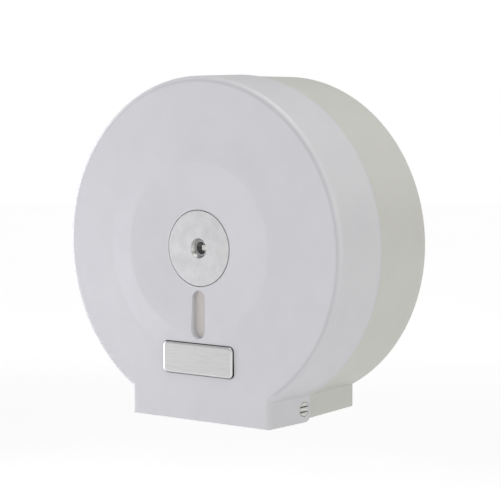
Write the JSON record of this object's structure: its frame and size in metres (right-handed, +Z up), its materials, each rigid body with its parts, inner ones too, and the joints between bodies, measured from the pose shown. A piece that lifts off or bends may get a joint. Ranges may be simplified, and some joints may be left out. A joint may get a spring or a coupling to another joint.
{
  "type": "jumbo toilet roll dispenser",
  "caption": "Round wall dispenser for a jumbo toilet roll: drop-down front cover on hinge pins, turning core hub on a fixed spindle, key-operated centre lock and a toothed outlet base.",
  "frame": {"origin": "centre of the four wall slots on the wall plane, which is also the spindle axis", "axes": "+Z up, +Y into the wall, the front faces -Y, +X to the right seen from the front"},
  "size_m": [0.272, 0.1246, 0.2745],
  "materials": {
    "cover_plastic": "fine matte moulded texture, cool white",
    "housing_plastic": "fine matte moulded texture, warm white",
    "pin_plastic": "smooth moulded acetal",
    "grey_plastic": "smooth moulded",
    "satin_plate": "satin, turned grain round the centre",
    "brushed_plate": "brushed along its length",
    "sheet_steel": "rolled sheet",
    "screw_steel": "bright zinc plated",
    "spigot_steel": "machined",
    "lock_zinc": "die cast",
    "clear_lens": "clear moulded"
  },
  "bodies": {
    "housing": {"rear_housing": "housing_plastic", "spindle": "grey_plastic", "spindle_screws": "screw_steel", "catch_plate": "sheet_steel", "catch_screws": "screw_steel", "hub_clip": "screw_steel", "rear_tear_blade": "sheet_steel", "hinge_pin_left": "pin_plastic", "hinge_pin_right": "pin_plastic"},
    "cover": {"front_cover": "cover_plastic", "centre_plate": "satin_plate", "lock_barrel": "lock_zinc", "lock_washer": "screw_steel", "lock_nut": "lock_zinc", "window_lens": "clear_lens", "lens_frame": "housing_plastic", "name_plate": "brushed_plate", "front_tear_blade": "sheet_steel"},
    "lock": {"lock_spigot": "spigot_steel", "lock_cam": "lock_zinc", "cam_screw": "screw_steel", "lock_clip": "screw_steel"},
    "hub": {"core_hub": "grey_plastic"}
  },
  "joints": [
    {"name": "cover_hinge", "type": "hinge", "parent": "housing", "child": "cover", "pos_m": [0, -0.0741, -0.1277], "axis": [1, 0, 0], "range_deg": [0, 90]},
    {"name": "lock_turn", "type": "hinge", "parent": "cover", "child": "lock", "pos_m": [0, -0.1, 0], "axis": [0, -1, 0], "range_deg": [0, 90]},
    {"name": "core_hub_spin", "type": "hinge", "parent": "housing", "child": "hub", "pos_m": [0, -0.048, 0], "axis": [0, 1, 0], "continuous": true}
  ]
}
